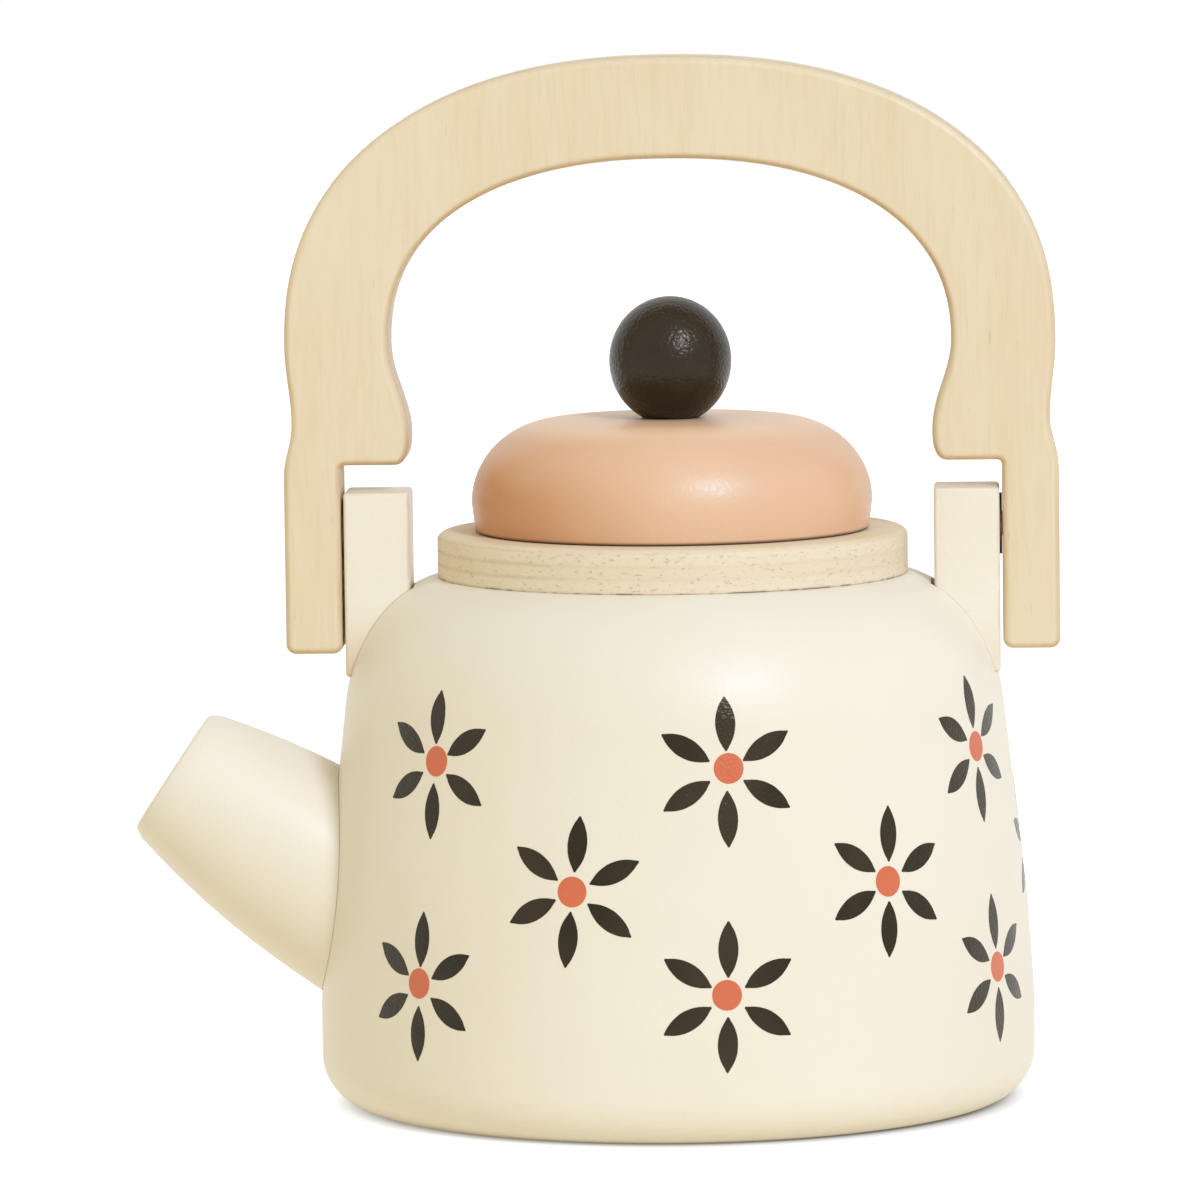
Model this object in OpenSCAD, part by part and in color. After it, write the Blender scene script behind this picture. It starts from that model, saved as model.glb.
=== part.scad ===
// A wooden toy kettle: a turned pot with a plywood collar, a lift-off lid and a swinging carrying handle.
// Origin: centre of the base. +Z is up, the spout points to -X and the handle's plate lies in the XZ plane.

/* [Pot] */
// Greatest radius of the pot
body_r = 58.6; // [56:0.2:62]
// Height of the pot from its base to the collar
body_h = 86.5; // [83:0.5:90]
// Height at which the pot is widest
belly_z = 14; // [11:0.5:20]
// Radius of the rounding round the base
base_round = 8; // [4:0.5:10]
// Radius of the pot where its shoulder starts
shoulder_r = 53.9; // [52:0.1:55.5]
// Height at which the shoulder starts
shoulder_z = 66; // [60:0.5:69]
// Radius of the hollow bored from the top
hollow_r = 27.5; // [20:0.5:28]
// Thickness of wood left under the hollow
floor_t = 15; // [8:0.5:25]
// Radius of the rounding at the bottom of the hollow
hollow_round = 4; // [1:0.5:8]

/* [Collar] */
// Outer radius of the plywood collar
collar_r = 38.5; // [36:0.5:40]
// Radius of the collar's bore
collar_bore_r = 28.5; // [28:0.1:29.5]
// Thickness of the collar
collar_t = 7.2; // [6.8:0.1:9]
// Rounding of the collar's top edges
collar_round = 1.3; // [0.4:0.1:2]

/* [Spout] */
// Distance from the pot's axis out to the middle of the spout's tip
spout_reach = 82.8; // [78:0.2:90]
// Height of the middle of the spout's tip
spout_tip_z = 54.5; // [50:0.5:58]
// Slope of the spout's axis above the horizontal, in degrees
spout_tilt = 33.8; // [28:0.2:38]
// Radius of the spout at its tip
spout_tip_r = 11.55; // [10:0.05:14]
// Radius of the spout where it meets the pot
spout_root_r = 16.8; // [15:0.1:18]
// Rounding of the edge of the tip
spout_edge_r = 1.3; // [0.5:0.1:2]
// Radius of the blind pouring hole
pour_r = 5.5; // [4:0.25:7.5]
// Depth of the pouring hole
pour_depth = 12; // [6:0.5:14]
// Radius of the dowel that holds the spout
spout_dowel_r = 4; // [3:0.25:6]
// Length of the dowel that holds the spout
spout_dowel_l = 24; // [16:0.5:28]

/* [Brackets] */
// Distance from the pot's axis to the outer face of a bracket
bracket_out = 53.55; // [53.1:0.05:55]
// Width of a bracket, seen from the front
bracket_w = 10.7; // [9:0.1:12]
// Depth of a bracket, front to back
bracket_d = 12; // [9:0.5:14]
// Height of a bracket
bracket_h = 30.3; // [29:0.1:32]
// Depth of the notch in the shoulder, below the pot's top
bracket_sink = 16.2; // [15:0.1:18]
// Rounding of a bracket's edges
bracket_round = 0.6; // [0.2:0.1:1.2]
// Length left free in the notch, behind a bracket's inner face
notch_spare = 0.6; // [0.2:0.1:1]
// Radius of the dowel under a bracket
bracket_dowel_r = 3; // [2:0.25:4]
// Length of the dowel inside a bracket
bracket_dowel_up = 10; // [6:0.5:12]
// Length of that dowel inside the pot
bracket_dowel_down = 14; // [8:0.5:20]

/* [Handle] */
// Thickness of the handle's plate
handle_t = 12; // [9:0.5:14]
// Width of a leg
leg_w = 9.3; // [9:0.1:12]
// Length of a leg below the pivot
leg_drop = 20.1; // [14:0.1:22]
// Height above the pivot at which a leg's straight outer edge ends
leg_straight = 8.8; // [6:0.1:11]
// Height of the outer waist above the pivot
waist_rise = 17.5; // [15:0.1:20]
// How far the outer waist lies inside the leg's outer edge
waist_inset = 1.4; // [0.5:0.1:2.5]
// Width of the plate at its waist
waist_w = 19.2; // [18.5:0.1:20]
// Height of the inner waist above the pivot
inner_waist_rise = 15.6; // [14:0.1:18]
// Height of the inner tabs' lower edge above the pivot
tab_rise = 10.8; // [9.6:0.1:11]
// Width of the rounding at a tab's inner end
tab_round_w = 2.4; // [1.5:0.1:4]
// Height above the pivot at which the arch starts
arch_spring = 30.5; // [28:0.5:33]
// Height of the arch's top above the pivot
handle_rise = 77; // [72:0.5:84]
// How far the arch lies inside the leg's outer edge at its widest
arch_inset = 0.4; // [0:0.1:1]
// Width of the arch at its sides
arch_side_w = 17; // [15:0.1:18]
// Width of the arch at its top
arch_top_w = 16.6; // [13:0.1:18]
// Squareness of the arch: 2 is an ellipse
arch_power = 2.29; // [2:0.01:2.6]
// Rounding of the outline's corners at the feet
foot_corner_r = 1.6; // [1.6:0.1:3]
// Rounding of the inner corner above a bracket
tab_corner_r = 0.8; // [0.4:0.1:1.6]
// Rounding of the plate's front and back edges
handle_edge_r = 1.3; // [0.6:0.1:1.6]

/* [Pivots] */
// Height of the pivot below a bracket's top
pivot_drop = 6.4; // [5.6:0.1:7]
// Radius of a pivot screw's shank
screw_r = 2; // [1.5:0.1:2.4]
// Radius of a pivot screw's head
screw_head_r = 4; // [3.2:0.1:4.4]
// Length of a pivot screw
screw_l = 18; // [15:0.5:19]
// Length of a pivot screw's point
screw_point_l = 3; // [1:0.5:4]
// Depth of the cross recess in a screw's head
recess_depth = 1.5; // [0.8:0.1:1.8]
// Length of the arms of the cross recess
recess_l = 4.4; // [3:0.1:5]
// Width of the arms of the cross recess
recess_w = 1.1; // [0.6:0.1:1.4]
// Radius of the washer between a leg and a bracket
washer_r = 5; // [4:0.1:5.4]
// Thickness of that washer
washer_t = 0.4; // [0.3:0.05:1]

/* [Lid] */
// Greatest radius of the lid
lid_r = 32.8; // [31:0.1:34.5]
// Height of the lid, from the collar to its flat top
lid_h = 18.3; // [16:0.1:21]
// How far the lid's bottom edge lies inside its greatest radius
lid_tuck = 0.5; // [0:0.1:1]
// Height at which the lid is widest
lid_side_h = 4.8; // [3:0.1:6]
// Width of the rounded crown, from the lid's side to its flat top
lid_crown_w = 14.5; // [10:0.5:18]
// Rounding of the lid's bottom edge
lid_edge_r = 0.8; // [0.3:0.1:1.5]
// Thickness of the plug under the lid
plug_t = 6.5; // [5:0.1:6.6]
// Rounding of the plug's lower edge
plug_round = 0.8; // [0.3:0.1:1.5]

/* [Knob] */
// Radius of the knob
knob_r = 10; // [8.5:0.1:11]
// Half the height of the knob before its foot is cut flat
knob_half_h = 10.5; // [9:0.1:11.5]
// Height cut off the bottom of the knob for its flat foot
knob_flat = 1.1; // [0.6:0.1:2]
// Radius of the dowel through the knob, lid and plug
knob_dowel_r = 3; // [2:0.1:3.2]
// Wood left in the plug under that dowel
knob_dowel_floor = 2; // [1:0.1:3]

/* [Fits] */
// Gap all round a glued dowel or a glued joint
glue_fit = 0.05; // [0.02:0.01:0.1]
// Radial running clearance of a leg on its screw
run_fit = 0.06; // [0.02:0.01:0.1]
// Gap round the head of a pivot screw
head_fit = 0.3; // [0.2:0.05:0.4]
// Side play between a leg and its washer
side_play = 0.05; // [0.02:0.01:0.1]
// Radial clearance of the lid's plug in the collar
lid_fit = 0.4; // [0.3:0.05:0.8]
// Space left past the end of a glued dowel
dowel_end_gap = 0.3; // [0.1:0.1:0.6]

/* [Hidden] */

left = -1;
right = 1;
turned_fn = 128;
small_fn = 48;
arc_steps = 6;
curve_steps = 12;
arch_steps = 22;
edge_steps = 2;

cream_paint = "#F1E9D3";
peach_paint = "#E2B08B";
charcoal_paint = "#3D362F";
birch_ply = "#E9DABB";
beech = "#D9B98C";
steel = "silver";
fibre = "#4A3A2C";

// Named overrun of every cut that goes past a face
over = bracket_w / 10;

// Curve points as shares of the way in from the first radius and up from the first height
side_shares = [[0, 0], [0, 0.23], [0.574, 0.654], [1, 1]];
shoulder_shares = [[0, 0], [0.058, 0.39], [0.383, 0.902], [1, 1]];
// Curve points as shares of the spout's length and of its growth in radius
spout_shares = [[0, 0], [0.32, 0.73], [0.55, 1.02], [1, 1]];
// Curve points of the waists and of the tabs' ends, as shares of their width and height
waist_shares = [[0, 0], [0, 0.38], [1, 0.64], [1, 1]];
tab_shares = [[0, 0], [0, 0.56], [0.25, 1], [1, 1]];

collar_top = body_h + collar_t;
lid_top = collar_top + lid_h;
plug_r = collar_bore_r - lid_fit;
knob_seat_h = knob_half_h - knob_flat;

notch_floor = body_h - bracket_sink;
bracket_in = bracket_out - bracket_w;
bracket_mid = bracket_out - bracket_w / 2;
pivot_z = notch_floor + bracket_h - pivot_drop;

leg_in = bracket_out + washer_t + side_play;
leg_out = leg_in + leg_w;
arch_out = leg_out - arch_inset;
arch_in = arch_out - arch_side_w;
waist_out = leg_out - waist_inset;
waist_in = waist_out - waist_w;
inner_rise = handle_rise - arch_top_w;
pivot_bore_r = screw_r + run_fit;
sink_r = screw_head_r + head_fit;

// The spout's blank runs on into the pot far enough for its saddle to be cut all round
spout_into_pot = spout_root_r / 4;
spout_l = (spout_reach - body_r + spout_into_pot) / cos(spout_tilt) + spout_root_r * tan(spout_tilt);
spout_seat = (spout_reach - (body_r + shoulder_r) / 2) / cos(spout_tilt);

function mix(from, to, share) = from + (to - from) * share;

function between(shares, from, to) =
    [for (s = shares) [mix(from[0], to[0], s[0]), mix(from[1], to[1], s[1])]];

function bezier(p, t) =
    pow(1 - t, 3) * p[0] + 3 * pow(1 - t, 2) * t * p[1] + 3 * (1 - t) * t * t * p[2] + pow(t, 3) * p[3];

// Points along a cubic curve, without its first point
function curve(p, steps) = [for (i = [1:steps]) bezier(p, i / steps)];

// The same without its last point either
function open_curve(p, steps) = [for (i = [1:steps - 1]) bezier(p, i / steps)];

function arc(centre, radii, from, to, steps) =
    [for (i = [0:steps]) let (a = mix(from, to, i / steps)) centre + [radii[0] * cos(a), radii[1] * sin(a)]];

function squared(v) = sign(v) * pow(abs(v), 2 / arch_power);

// Points along a quarter of a squared ellipse that stands on the arch's spring line
function quarter_arch(half_w, rise, from, to) =
    [for (i = [0:arch_steps]) let (a = mix(from, to, i / arch_steps))
        [half_w * squared(cos(a)), arch_spring + (rise - arch_spring) * squared(sin(a))]];

function unit(v) = v / norm(v);
function inward(v) = [-v[1], v[0]];

// A closed outline moved inwards by a width, with its edges kept parallel
function inset_loop(loop, width) =
    let (n = len(loop))
    [for (i = [0:n - 1])
        let (
            a = inward(unit(loop[i] - loop[(i + n - 1) % n])),
            b = inward(unit(loop[(i + 1) % n] - loop[i]))
        )
        loop[i] + width * (a + b) / (1 + a * b)];

body_outline = concat(
    [[0, 0]],
    arc([body_r - base_round, base_round], [base_round, base_round], -90, 0, arc_steps),
    [[body_r, belly_z]],
    curve(between(side_shares, [body_r, belly_z], [shoulder_r, shoulder_z]), curve_steps),
    curve(between(shoulder_shares, [shoulder_r, shoulder_z], [collar_r, body_h]), curve_steps),
    [[0, body_h]]
);

// Right half of the handle's outline, from the arch's inner top round a leg to its outer top.
// Its heights are measured from the pivot.
handle_half = concat(
    quarter_arch(arch_in, inner_rise, 90, 0),
    curve(between(waist_shares, [arch_in, arch_spring], [waist_in, inner_waist_rise]), arc_steps),
    curve(between(tab_shares, [waist_in, inner_waist_rise], [waist_in + tab_round_w, tab_rise]), arc_steps),
    arc([leg_in - tab_corner_r, tab_rise - tab_corner_r], [tab_corner_r, tab_corner_r], 90, 0, 3),
    arc([leg_in + foot_corner_r, foot_corner_r - leg_drop], [foot_corner_r, foot_corner_r], 180, 270, 4),
    arc([leg_out - foot_corner_r, foot_corner_r - leg_drop], [foot_corner_r, foot_corner_r], 270, 360, 4),
    [[leg_out, leg_straight]],
    curve(between(waist_shares, [leg_out, leg_straight], [waist_out, waist_rise]), arc_steps),
    open_curve(between(waist_shares, [waist_out, waist_rise], [arch_out, arch_spring]), arc_steps),
    quarter_arch(arch_out, handle_rise, 0, 90)
);

handle_loop = concat(
    handle_half,
    [for (i = [len(handle_half) - 2:-1:1]) [-handle_half[i][0], handle_half[i][1]]]
);

// Turns an outline of radii and heights into a solid of revolution
module turned(outline, fn = turned_fn) rotate_extrude($fn = fn) polygon(outline);

module on_side(side) {
    if (side == left) mirror([1, 0, 0]) children();
    else children();
}

// Places a shape on the pivot line with its Z axis pointing in from the leg's outer face
module at_pivot(side) on_side(side) translate([leg_out, 0, pivot_z]) rotate([0, -90, 0]) children();

// Places a shape on the spout's axis with its Z axis pointing from the tip into the pot
module at_spout() translate([-spout_reach, 0, spout_tip_z]) rotate([0, 90 + spout_tilt, 0]) children();

// The pot as turned, before anything is cut in it
module pot_blank(grow = 0) turned([for (p = body_outline) [p[0] > 0 ? p[0] + grow : 0, p[1]]]);

module hollow() {
    low = floor_t;
    turned(concat(
        [[0, low]],
        arc([hollow_r - hollow_round, low + hollow_round], [hollow_round, hollow_round], -90, 0, arc_steps),
        [[hollow_r, body_h + over], [0, body_h + over]]
    ));
}

module dowel_hole(r, l) cylinder(r = r + glue_fit, h = l, $fn = small_fn);

module bracket_notch(side) on_side(side)
    translate([bracket_in - notch_spare, -bracket_d / 2 - glue_fit, notch_floor])
        cube([body_r, bracket_d + 2 * glue_fit, bracket_sink + over]);

module spout_dowel_hole() at_spout()
    translate([0, 0, spout_seat - spout_dowel_l / 2 - dowel_end_gap])
        dowel_hole(spout_dowel_r, spout_dowel_l + 2 * dowel_end_gap);

module bracket_dowel_hole(side) on_side(side)
    translate([bracket_mid, 0, notch_floor - bracket_dowel_down - dowel_end_gap])
        dowel_hole(bracket_dowel_r, bracket_dowel_down + bracket_dowel_up + 2 * dowel_end_gap);

module body() color(cream_paint) difference() {
    pot_blank();
    hollow();
    for (side = [left, right]) {
        bracket_notch(side);
        bracket_dowel_hole(side);
    }
    spout_dowel_hole();
}

module collar_ring() color(birch_ply) translate([0, 0, body_h]) {
    edge = [collar_round, collar_round];
    edge_z = collar_t - collar_round;
    turned(concat(
        [[collar_bore_r, 0], [collar_r, 0]],
        arc([collar_r - collar_round, edge_z], edge, 0, 90, arc_steps),
        arc([collar_bore_r + collar_round / 2, collar_t - collar_round / 2], edge / 2, 90, 180, arc_steps)
    ));
}

module spout() color(cream_paint) difference() {
    at_spout() turned(concat(
        [[0, 0]],
        arc([spout_tip_r - spout_edge_r, spout_edge_r], [spout_edge_r, spout_edge_r], -90, -15, arc_steps),
        [for (p = curve(between(spout_shares, [0, spout_tip_r], [spout_l, spout_root_r]), curve_steps))
            [p[1], p[0]]],
        [[0, spout_l]]
    ));
    pot_blank(glue_fit);
    at_spout() translate([0, 0, -over]) cylinder(r = pour_r, h = pour_depth + over, $fn = small_fn);
    spout_dowel_hole();
}

module spout_dowel() color(beech) at_spout()
    translate([0, 0, spout_seat - spout_dowel_l / 2])
        cylinder(r = spout_dowel_r, h = spout_dowel_l, $fn = small_fn);

// A rectangle with rounded corners, centred on the origin
function soft_rectangle(size, r) = concat(
    arc([size[0] / 2 - r, size[1] / 2 - r], [r, r], 0, 90, 3),
    arc([r - size[0] / 2, size[1] / 2 - r], [r, r], 90, 180, 3),
    arc([r - size[0] / 2, r - size[1] / 2], [r, r], 180, 270, 3),
    arc([size[0] / 2 - r, r - size[1] / 2], [r, r], 270, 360, 3)
);

// A block with every edge rounded, centred on the origin
module soft_block(size, r) intersection() {
    linear_extrude(height = size[2], center = true) polygon(soft_rectangle([size[0], size[1]], r));
    rotate([90, 0, 0]) linear_extrude(height = size[1], center = true)
        polygon(soft_rectangle([size[0], size[2]], r));
    rotate([90, 0, 90]) linear_extrude(height = size[0], center = true)
        polygon(soft_rectangle([size[1], size[2]], r));
}

module bracket(side) color(cream_paint) difference() {
    on_side(side) translate([bracket_mid, 0, notch_floor + bracket_h / 2])
        soft_block([bracket_w, bracket_d, bracket_h], bracket_round);
    bracket_dowel_hole(side);
    at_pivot(side) dowel_hole(screw_r, screw_l + dowel_end_gap);
}

module left_bracket() bracket(left);
module right_bracket() bracket(right);

module bracket_dowel(side) color(beech) on_side(side)
    translate([bracket_mid, 0, notch_floor - bracket_dowel_down])
        cylinder(r = bracket_dowel_r, h = bracket_dowel_down + bracket_dowel_up, $fn = small_fn);

module left_bracket_dowel() bracket_dowel(left);
module right_bracket_dowel() bracket_dowel(right);

module pivot_screw(side) color(steel) at_pivot(side) difference() {
    turned([
        [0, 0],
        [screw_head_r, 0],
        [screw_r, screw_head_r - screw_r],
        [screw_r, screw_l - screw_point_l],
        [0, screw_l]
    ], small_fn);
    for (turn = [0, 90]) rotate([0, 0, turn])
        translate([-recess_l / 2, -recess_w / 2, -over]) cube([recess_l, recess_w, recess_depth + over]);
}

module left_pivot_screw() pivot_screw(left);
module right_pivot_screw() pivot_screw(right);

module washer(side) color(fibre) at_pivot(side) translate([0, 0, leg_w + side_play]) difference() {
    cylinder(r = washer_r, h = washer_t, $fn = small_fn);
    translate([0, 0, -over]) cylinder(r = pivot_bore_r, h = washer_t + 2 * over, $fn = small_fn);
}

module left_washer() washer(left);
module right_washer() washer(right);

function reversed(list) = [for (i = [len(list) - 1:-1:0]) list[i]];

// Faces that close the right half of the plate, as places in its outline. The arch and the waist are
// closed by a strip of quads, and the leg by a fan round a hub, which is written as -1.
half_faces = let (last = len(handle_half) - 1, paired = arch_steps + arc_steps) concat(
    [for (i = [0:paired - 1]) [i, i + 1, last - i - 1, last - i]],
    [for (i = [paired:last - paired - 1]) [i, i + 1, -1]],
    [[last - paired, paired, -1]]
);

// The faces of one half of a cap, whose outline starts at a given point
function cap(start, hub, mirrored) = let (n = len(handle_loop))
    [for (f = half_faces) [for (i = f) i < 0 ? hub : start + (mirrored ? (n - i) % n : i)]];

// The handle's plate: the outline lofted from front to back, drawn in over its rounded edges
module handle_plate() {
    n = len(handle_loop);
    front = [for (j = [0:edge_steps]) let (a = 90 * j / edge_steps)
        [handle_edge_r * (1 - sin(a)), handle_edge_r * (1 - cos(a)) - handle_t / 2]];
    back = [for (ring = reversed(front)) [ring[0], -ring[1]]];
    rings = concat(front, back);
    loft = [for (ring = rings) for (p = inset_loop(handle_loop, ring[0])) [p[0], ring[1], p[1]]];
    hub_x = (leg_in + leg_out) / 2;
    hub_z = (tab_rise + inner_waist_rise) / 2;
    hubs = [for (y = [-handle_t / 2, handle_t / 2]) for (x = [hub_x, -hub_x]) [x, y, hub_z]];
    h = len(loft);
    back_start = h - n;
    sides = [for (k = [0:len(rings) - 2]) for (i = [0:n - 1]) let (next = (i + 1) % n)
        each [
            [k * n + i, k * n + next, (k + 1) * n + next],
            [k * n + i, (k + 1) * n + next, (k + 1) * n + i]
        ]];
    caps = concat(
        [for (f = cap(0, h, false)) reversed(f)],
        cap(0, h + 1, true),
        cap(back_start, h + 2, false),
        [for (f = cap(back_start, h + 3, true)) reversed(f)]
    );
    translate([0, 0, pivot_z]) polyhedron(concat(loft, hubs), concat(sides, caps));
}

module handle() color(birch_ply) difference() {
    handle_plate();
    for (side = [left, right]) at_pivot(side) {
        translate([0, 0, -over]) cylinder(r = pivot_bore_r, h = leg_w + 2 * over, $fn = small_fn);
        cylinder(r1 = sink_r, r2 = pivot_bore_r, h = sink_r - pivot_bore_r, $fn = small_fn);
        translate([0, 0, -over]) cylinder(r = sink_r, h = over, $fn = small_fn);
    }
}

module knob_dowel_hole() translate([0, 0, collar_top - plug_t + knob_dowel_floor - dowel_end_gap])
    dowel_hole(knob_dowel_r, plug_t - knob_dowel_floor + lid_h + knob_seat_h + 2 * dowel_end_gap);

module lid() color(peach_paint) difference() {
    translate([0, 0, collar_top]) turned(concat(
        [[0, 0]],
        arc([lid_r - lid_tuck - lid_edge_r, lid_edge_r], [lid_edge_r, lid_edge_r], -90, 0, 3),
        arc([lid_r - lid_crown_w, lid_side_h], [lid_crown_w, lid_h - lid_side_h], 0, 90, curve_steps),
        [[0, lid_h]]
    ));
    knob_dowel_hole();
}

module lid_plug() color(birch_ply) difference() {
    translate([0, 0, collar_top - plug_t]) turned(concat(
        [[0, 0]],
        arc([plug_r - plug_round, plug_round], [plug_round, plug_round], -90, 0, 3),
        [[plug_r, plug_t], [0, plug_t]]
    ));
    knob_dowel_hole();
}

module knob() color(charcoal_paint) difference() {
    translate([0, 0, lid_top]) turned(concat(
        [[0, 0]],
        arc([0, knob_seat_h], [knob_r, knob_half_h], -asin(knob_seat_h / knob_half_h), 90, 2 * curve_steps)
    ));
    knob_dowel_hole();
}

module knob_dowel() color(beech) translate([0, 0, collar_top - plug_t + knob_dowel_floor])
    cylinder(r = knob_dowel_r, h = plug_t - knob_dowel_floor + lid_h + knob_seat_h, $fn = small_fn);

body();
collar_ring();
spout();
spout_dowel();
left_bracket();
right_bracket();
left_bracket_dowel();
right_bracket_dowel();
left_pivot_screw();
right_pivot_screw();
left_washer();
right_washer();
handle();
lid();
lid_plug();
knob();
knob_dowel();
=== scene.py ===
from math import asin, atan, cos, degrees, pi, radians, sin, sqrt, tan

import bpy
from mathutils import Matrix, Vector


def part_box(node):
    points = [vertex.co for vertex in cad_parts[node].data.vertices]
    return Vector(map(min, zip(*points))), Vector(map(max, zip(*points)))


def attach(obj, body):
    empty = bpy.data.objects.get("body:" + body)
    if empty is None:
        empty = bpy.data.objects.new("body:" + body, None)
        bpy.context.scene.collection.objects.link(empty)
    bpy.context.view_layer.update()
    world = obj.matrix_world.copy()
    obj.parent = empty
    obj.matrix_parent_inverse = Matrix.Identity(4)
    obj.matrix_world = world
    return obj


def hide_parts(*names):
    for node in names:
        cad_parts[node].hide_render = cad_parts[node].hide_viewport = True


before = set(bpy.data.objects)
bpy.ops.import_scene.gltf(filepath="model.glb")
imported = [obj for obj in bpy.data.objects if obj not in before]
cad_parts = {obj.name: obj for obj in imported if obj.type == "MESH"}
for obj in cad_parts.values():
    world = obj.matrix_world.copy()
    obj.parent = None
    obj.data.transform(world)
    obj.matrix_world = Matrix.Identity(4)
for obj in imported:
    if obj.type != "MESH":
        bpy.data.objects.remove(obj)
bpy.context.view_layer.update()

MM = 0.001
FULL_TURN = 2 * pi

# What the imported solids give
pot_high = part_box("body")[1]
collar_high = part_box("collar_ring")[1]
lid_low, lid_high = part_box("lid")
knob_low, knob_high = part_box("knob")
handle_low, handle_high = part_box("handle")
washer_low, washer_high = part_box("right_washer")
bracket_low, bracket_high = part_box("right_bracket")
screw_low, screw_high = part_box("right_pivot_screw")

pot_r = pot_high.y
pot_top = pot_high.z
collar_r = collar_high.x
collar_top = collar_high.z
lid_r = lid_high.x
knob_r = knob_high.x
leg_out = handle_high.x
plate_t = handle_high.y - handle_low.y
pivot = Vector((0, 0, (washer_low.z + washer_high.z) / 2))

# The photograph's view, worked out from its landmarks
CAMERA_AWAY = 1.5
CAMERA_RISE = 0.2258
CAMERA_ASIDE = -12 * MM
CAMERA_TURN = radians(2.5)
CAMERA_PITCH = radians(5.47)
CAMERA_ROLL = radians(0.74)
CAMERA_PIXELS_PER_RADIAN = 9194
CAMERA_FAR = 20
SENSOR_W = 36
FRAME_PIXELS = 1200


def place_camera():
    ahead = Vector((-sin(CAMERA_TURN), cos(CAMERA_TURN), 0))
    right = Vector((cos(CAMERA_TURN), sin(CAMERA_TURN), 0))
    data = bpy.data.cameras.new("camera")
    data.sensor_width = SENSOR_W
    data.lens = CAMERA_PIXELS_PER_RADIAN / FRAME_PIXELS * SENSOR_W
    data.clip_end = CAMERA_FAR
    camera = bpy.data.objects.new("camera", data)
    bpy.context.scene.collection.objects.link(camera)
    look = cos(CAMERA_PITCH) * ahead - sin(CAMERA_PITCH) * Vector((0, 0, 1))
    turn = look.to_track_quat("-Z", "Y").to_matrix() @ Matrix.Rotation(-CAMERA_ROLL, 3, "Z")
    camera.matrix_world = turn.to_4x4()
    camera.location = CAMERA_AWAY * -ahead + CAMERA_ASIDE * right + Vector((0, 0, CAMERA_RISE))
    bpy.context.scene.camera = camera


place_camera()


# Curves, the same as in the solids

SIDE_SHARES = ((0, 0), (0, 0.23), (0.574, 0.654), (1, 1))
SHOULDER_SHARES = ((0, 0), (0.058, 0.39), (0.383, 0.902), (1, 1))
SPOUT_SHARES = ((0, 0), (0.32, 0.73), (0.55, 1.02), (1, 1))
WAIST_SHARES = ((0, 0), (0, 0.38), (1, 0.64), (1, 1))
TAB_SHARES = ((0, 0), (0, 0.56), (0.25, 1), (1, 1))


def mix(start, end, share):
    return start + (end - start) * share


def curve(shares, start, end, steps):
    """Points along a cubic curve between two points, without its first one."""
    p = [(mix(start[0], end[0], s[0]), mix(start[1], end[1], s[1])) for s in shares]
    points = []
    for step in range(1, steps + 1):
        t = step / steps
        w = ((1 - t) ** 3, 3 * (1 - t) ** 2 * t, 3 * (1 - t) * t * t, t ** 3)
        points.append(tuple(sum(w[i] * p[i][axis] for i in range(4)) for axis in (0, 1)))
    return points


def arc(centre, radius, start, end, steps, rise=None):
    """Points along an arc, its angles in degrees; an ellipse has its rise as a second radius."""
    upwards = radius if rise is None else rise
    angles = [radians(mix(start, end, step / steps)) for step in range(steps + 1)]
    return [(centre[0] + radius * cos(a), centre[1] + upwards * sin(a)) for a in angles]


# Modelling

MERGE = 0.001 * MM
OVERRUN = 1 * MM
GLUE_GAP = 0.05 * MM
POT_SIDES = 192
WIDE_SIDES = 160
SMALL_SIDES = 128
BORE_SIDES = 48
SQUARE_ON = 0.9


def deselect():
    """Closes an open edit and leaves nothing selected."""
    if bpy.context.mode != "OBJECT":
        bpy.ops.object.mode_set(mode="OBJECT")
    bpy.ops.object.select_all(action="DESELECT")


def pick(*pieces):
    """Selects these pieces alone, with the first one active."""
    deselect()
    for piece in pieces:
        piece.select_set(True)
    bpy.context.view_layer.objects.active = pieces[0]


def take_faces(piece, wanted):
    """Selects the faces of an open piece that pass a test."""
    bpy.ops.mesh.select_mode(type="FACE")
    bpy.ops.mesh.select_all(action="DESELECT")
    bpy.ops.object.mode_set(mode="OBJECT")
    for face in piece.data.polygons:
        face.select = wanted(face)
    bpy.ops.object.mode_set(mode="EDIT")


def settle(piece):
    """Closes a piece's edit and puts its place, turn and size in its mesh."""
    pick(piece)
    bpy.ops.object.transform_apply(location=True, rotation=True, scale=True)


def set_down(piece, place, turn):
    """Turns a piece about the origin, then moves it to its place."""
    piece.location = place
    piece.rotation_euler = turn
    settle(piece)


def finish_mesh(piece, smooth_below):
    """Settles a piece and shades it smooth, apart from its edges above an angle in degrees."""
    settle(piece)
    bpy.ops.object.shade_smooth_by_angle(angle=radians(smooth_below))
    return piece


def start_point(name, point):
    """A new piece that is one selected vertex, open for edit."""
    deselect()
    bpy.ops.mesh.primitive_plane_add(size=MM)
    piece = bpy.context.object
    piece.name = name
    piece.data.name = name
    bpy.ops.object.mode_set(mode="EDIT")
    bpy.ops.mesh.select_mode(type="VERT")
    bpy.ops.mesh.select_all(action="SELECT")
    bpy.ops.mesh.merge(type="CENTER")
    bpy.ops.transform.translate(value=point)
    return piece


def draw_line(name, points):
    """A new piece that is a line drawn through the points, open for edit."""
    piece = start_point(name, points[0])
    for start, end in zip(points, points[1:]):
        bpy.ops.mesh.extrude_region_move(TRANSFORM_OT_translate={"value": Vector(end) - Vector(start)})
    return piece


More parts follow.
